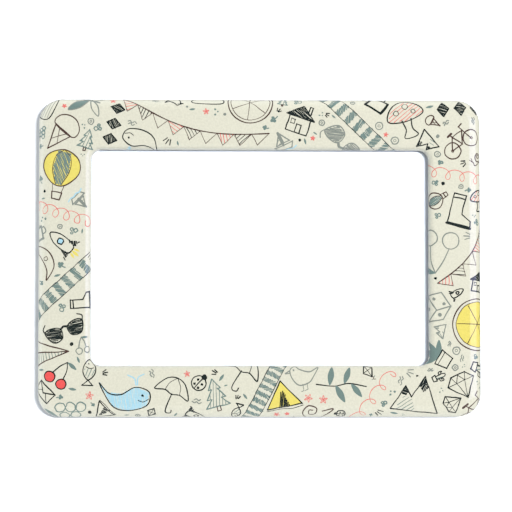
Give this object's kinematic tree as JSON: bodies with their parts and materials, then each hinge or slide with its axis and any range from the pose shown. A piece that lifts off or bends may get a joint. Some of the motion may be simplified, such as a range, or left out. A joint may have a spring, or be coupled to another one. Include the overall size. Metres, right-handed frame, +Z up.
{
  "type": "magnetic photo frame",
  "caption": "Landscape magnet-backed photo frame of pressed tin: padded border with rolled edges, clear pane, photo pocket with a slot in the top side.",
  "frame": {"origin": "centre of the overall box, midway between the tin's front face and the magnets' rear faces", "axes": "+X to the right as seen from the front, +Y backwards into the surface that it hangs on, +Z up; the front faces -Y"},
  "size_m": [0.1878, 0.0076, 0.135],
  "materials": {
    "printed_tin": "glossy lacquer over a printed pattern",
    "filler_board": "matte",
    "clear_sheet": "clear and glossy",
    "photo_paper": "satin",
    "pocket_board": "matte",
    "back_board": "matte",
    "tape": "matte",
    "magnet_rubber": "matte"
  },
  "bodies": {
    "frame": {"front_shell": "printed_tin", "filler_frame": "filler_board", "window_pane": "clear_sheet", "pocket_strip_left": "pocket_board", "pocket_strip_right": "pocket_board", "pocket_strip_bottom": "pocket_board", "back_board": "back_board", "magnet_tape_top_left": "tape", "magnet_tape_top_right": "tape", "magnet_tape_bottom_left": "tape", "magnet_tape_bottom_right": "tape", "magnet_top_left": "magnet_rubber", "magnet_top_right": "magnet_rubber", "magnet_bottom_left": "magnet_rubber", "magnet_bottom_right": "magnet_rubber"},
    "photo": {"photo_card": "photo_paper"}
  },
  "joints": [
    {"name": "photo_slide", "type": "slide", "parent": "frame", "child": "photo", "axis": [0, 0, 1], "range_m": [0, 0.11825]}
  ]
}
